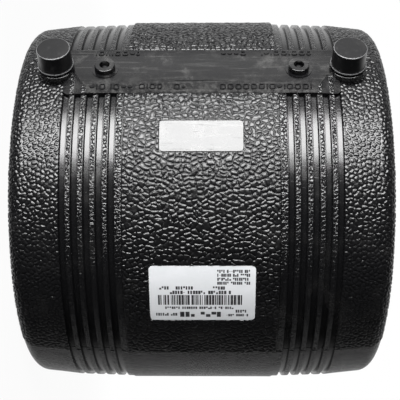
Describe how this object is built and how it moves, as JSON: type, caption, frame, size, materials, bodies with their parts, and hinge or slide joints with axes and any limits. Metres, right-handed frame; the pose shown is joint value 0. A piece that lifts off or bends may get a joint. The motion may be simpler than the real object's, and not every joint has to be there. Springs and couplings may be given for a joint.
{
  "type": "electrofusion coupler",
  "caption": "Black electrofusion pipe coupler: a socket at each end with an inner heating winding, grip grooves outside, capped terminals and fusion indicators on a smooth pad.",
  "frame": {"origin": "on the bore axis, in the plane of the lower end face that the coupler stands on", "axes": "+Z along the bore from the lower end face to the upper one; -Y towards the two electrical terminals"},
  "size_m": [0.2, 0.2135, 0.184],
  "materials": {
    "body": "black polyethylene, pebble-grained and slightly glossy",
    "winding": "black polyethylene coat over wire, smooth",
    "pins": "turned brass",
    "caps": "black polyethylene, satin",
    "indicators": "black polyethylene, smooth",
    "label": "white coated label with printed bars"
  },
  "bodies": {
    "coupler": {"coupler_body": "body", "heating_winding": "winding", "terminal_pin_lower": "pins", "terminal_pin_upper": "pins", "identification_label": "label"},
    "lower_cap": {"terminal_cap_lower": "caps"},
    "upper_cap": {"terminal_cap_upper": "caps"},
    "lower_indicator": {"fusion_indicator_lower": "indicators"},
    "upper_indicator": {"fusion_indicator_upper": "indicators"}
  },
  "joints": [
    {"name": "lower_cap_pull", "type": "slide", "parent": "coupler", "child": "lower_cap", "axis": [0, -1, 0], "range_m": [0, 0.04]},
    {"name": "upper_cap_pull", "type": "slide", "parent": "coupler", "child": "upper_cap", "axis": [0, -1, 0], "range_m": [0, 0.04]},
    {"name": "lower_indicator_rise", "type": "slide", "parent": "coupler", "child": "lower_indicator", "axis": [0, -1, 0], "range_m": [0, 0.003]},
    {"name": "upper_indicator_rise", "type": "slide", "parent": "coupler", "child": "upper_indicator", "axis": [0, -1, 0], "range_m": [0, 0.003]}
  ]
}
